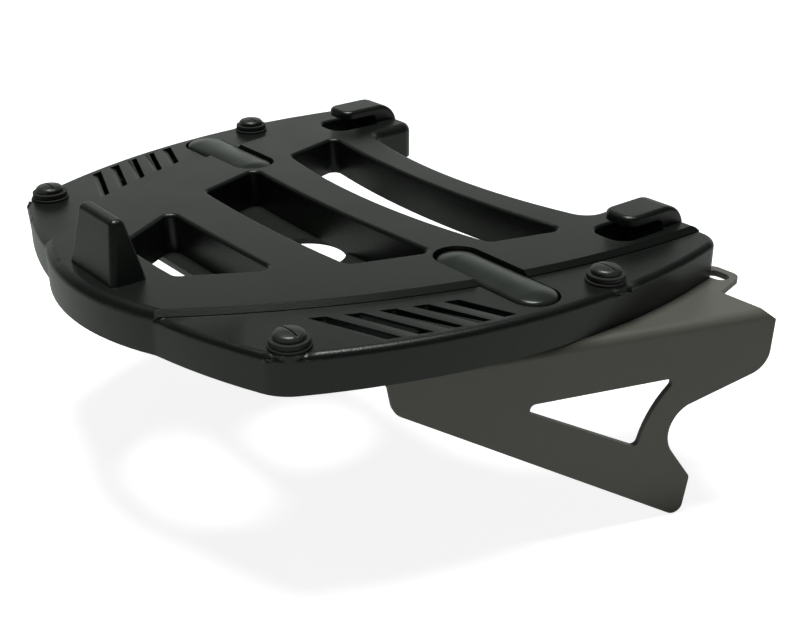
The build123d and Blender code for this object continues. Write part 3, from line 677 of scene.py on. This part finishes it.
# %% One kind at its four places
def four_of(kind, model_end, finish, slot_name, places, round_size, change=None, **values):
    """One kind of small piece at its four places, as one mesh, shaped after the solid kind + model_end."""
    maker = welded(kind + model_end, kind, places[0])
    if change:
        change(maker.data)
    soften(maker, round_size)
    modifier = maker.modifiers.new("set_out", "NODES")
    modifier.node_group = set_out
    values = {"First place": places[0], "Second place": places[1], "Finish": finish.material, **values}
    for item in set_out.interface.items_tree:
        if item.item_type == "SOCKET" and item.in_out == "INPUT" and item.name in values:
            modifier[item.identifier] = values[item.name]
    made = shaded(evaluated(maker, kind + "s"))
    return hand_over(made, slot_name, *[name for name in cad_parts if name.startswith(kind)])


# %% [markdown]
# ## Buffers and their plugs
#
# The case rests on four rubber rings, each held down by a plug with a slot across its head. The solid's
# slot is wide enough to be milled, but in the photograph it is a fine worn line, so its walls are drawn
# in before the edges are softened, and its floor comes up.

# %% Buffers
PLUG_SLOT_HALF = 0.82 * MM
PLUG_SLOT_HEIGHTS = (3.3 * MM, 3.5 * MM)  # the solid's slot has its floor between these
PLUG_SLOT_SQUEEZE = 0.42
PLUG_SLOT_FLOOR = 3.62 * MM
BUFFER_PLACES = (node_place("buffer_ring_rear_left"), node_place("buffer_ring_front_left"))


def slimmer_slot(mesh):
    """Draw the plug's slot in to a fine line."""
    for point in mesh.vertices:
        if abs(point.co.x) < PLUG_SLOT_HALF and point.co.z > PLUG_SLOT_HEIGHTS[0]:
            point.co.x *= PLUG_SLOT_SQUEEZE
            if point.co.z < PLUG_SLOT_HEIGHTS[1]:
                point.co.z = PLUG_SLOT_FLOOR


four_of("buffer_ring", "_rear_left", rubber, "buffer_rubber", BUFFER_PLACES, 0.35 * MM)
four_of("buffer_plug", "_rear_left", plug_plastic, "plug_plastic", BUFFER_PLACES, 0.3 * MM, slimmer_slot)

# %% [markdown]
# ## Screws, washers and lock nuts
#
# Four screws below the covers clamp the plate to the bracket, each with a washer and a lock nut under the
# sheet. In the solids a screw is a plain cylinder. Here the tree winds its thread, which shows below the
# nut.

# %% Fixing screws
SCREW_PLACES = (node_place("washer_left_inner"), node_place("washer_left_outer"))
SCREW_THREAD = {
    "Thread turns": 14.0,
    "Thread radius": 2.95 * MM,
    "Thread length": 14.0 * MM,
    "Thread end": (0.0, 0.0, -34.0 * MM),
    "Ridge": 0.32 * MM,
}
for kind, round_size, thread in (
    ("fixing_screw", 0.2 * MM, SCREW_THREAD),
    ("washer", 0.2 * MM, {}),
    ("lock_nut", 0.25 * MM, {}),
):
    four_of(kind, "_left_inner", plating, "plated_steel", SCREW_PLACES, round_size, **thread)

# %% [markdown]
# ## Floor
#
# A plain pale floor lies just below the bracket's lowest edges. The photograph has a white ground, and a
# floor that is lit up to white would throw that light back at the plate. So the floor glows for the
# camera only: it is mixed with a glow where the light path says that a ray comes from the camera. It
# still takes the shadow.

# %% Floor
FLOOR_HALF = 4.0
FLOOR_GAP = 0.5 * MM
FLOOR_GREY = 0.7
FLOOR_GLOW = 0.86

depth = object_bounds()[0].z - FLOOR_GAP
floor_corners = [(x * FLOOR_HALF, y * FLOOR_HALF, depth) for x, y in ((-1, -1), (1, -1), (1, 1), (-1, 1))]
floor_mesh = bpy.data.meshes.new("floor")
floor_mesh.from_pydata(floor_corners, [], [(0, 1, 2, 3)])
floor = linked("floor", floor_mesh)
floor_finish = Finish("floor_white", Roughness=0.9)
floor_finish.set("Base Color", (FLOOR_GREY, FLOOR_GREY, FLOOR_GREY))
floor_mesh.materials.append(floor_finish.material)

lit = Link(floor_finish, floor_finish.shader.outputs[0])
glow = floor_finish.node("ShaderNodeEmission", {}, {"Strength": FLOOR_GLOW})
lit_and_glowing = floor_finish.node("ShaderNodeAddShader", {}, {0: glow, 1: lit})
seen = floor_finish.node("ShaderNodeLightPath", out="Is Camera Ray")
shown = floor_finish.node("ShaderNodeMixShader", {}, {0: seen, 1: lit, 2: lit_and_glowing})
floor_finish.plug(floor_finish.tree.nodes["Material Output"].inputs["Surface"], shown)
print("floor at", round(depth / MM, 1), "mm")

# %% [markdown]
# ## One lamp overhead
#
# A dark glossy plate shows its surroundings more than its own colour. In the photograph the flat top is
# an even grey, and the rounding of the wings is a dark band. The rounding mirrors a wide arc of the room,
# so any lamp in that arc would show in it. One soft disk straight overhead lights the top and stays out
# of the rounding.

# %% Lamp
LAMP_PLACE = (0.0, 0.12, 2.3)
LAMP_SIZE = 1.0
LAMP_POWER = 46.0
LIGHT_TINT = (0.94, 1.0, 0.94)

lamp_data = bpy.data.lights.new("overhead", "AREA")
lamp_data.shape = "DISK"
lamp_data.size = LAMP_SIZE
lamp_data.energy = LAMP_POWER
lamp_data.color = LIGHT_TINT
lamp = linked("overhead", lamp_data)
lamp.location = LAMP_PLACE
lamp.rotation_euler = (Vector() - Vector(LAMP_PLACE)).to_track_quat("-Z", "Y").to_euler()
print("lamp:", LAMP_POWER, "W at", LAMP_PLACE)

# %% [markdown]
# ## A dark room with a low glow
#
# The room is dark, apart from a low band of glow behind the plate, as from a white wall. The flat top
# mirrors it at a glancing angle and turns from black to grey, and the crowned covers catch it as a bright
# line. The band fades out upwards before it reaches the part of the room that the rounding mirrors. The
# camera itself sees white paper, above the floor's edge too.

# %% Room
ROOM_LIGHT = 0.05
GLOW_LIGHT = 0.58
GLOW_AZIMUTH = radians(53)
GLOW_FULL_BELOW, GLOW_GONE_ABOVE = radians(18), radians(30)
GLOW_SIDES = (0.5, 0.84)  # cosines of the angles from the glow's middle where it is gone and full

world = bpy.data.worlds.new("studio")
bpy.context.scene.world = world
world.use_nodes = True
world.node_tree.nodes.clear()
room = Graph(world.node_tree)


def fade(value, gone, full):
    """Nothing at `gone`, everything at `full`, with soft ends."""
    sockets = {"Value": value, "From Min": gone, "From Max": full}
    return room.node("ShaderNodeMapRange", {"interpolation_type": "SMOOTHSTEP"}, sockets)


outwards = room.node("ShaderNodeTexCoord")
height = room.node("ShaderNodeSeparateXYZ", {}, {"Vector": outwards}, out="Z")
sockets = {0: outwards, 1: (cos(GLOW_AZIMUTH), sin(GLOW_AZIMUTH), 0.0)}
towards_glow = room.node("ShaderNodeVectorMath", {"operation": "DOT_PRODUCT"}, sockets, out="Value")
glow = fade(height, sin(GLOW_GONE_ABOVE), sin(GLOW_FULL_BELOW)) * fade(towards_glow, *GLOW_SIDES)
strength = glow * GLOW_LIGHT + ROOM_LIGHT
lighting = room.node("ShaderNodeBackground", {}, {"Color": LIGHT_TINT, "Strength": strength})
paper = room.node("ShaderNodeBackground", {}, {"Color": (1.0, 1.0, 1.0), "Strength": 1.0})
seen = room.node("ShaderNodeLightPath", out="Is Camera Ray")
shown = room.node("ShaderNodeMixShader", {}, {0: seen, 1: lighting, 2: paper})
room.plug(world.node_tree.nodes.new("ShaderNodeOutputWorld").inputs["Surface"], shown)
bpy.context.scene.view_settings.view_transform = "Standard"
print("room:", len(world.node_tree.nodes), "nodes")
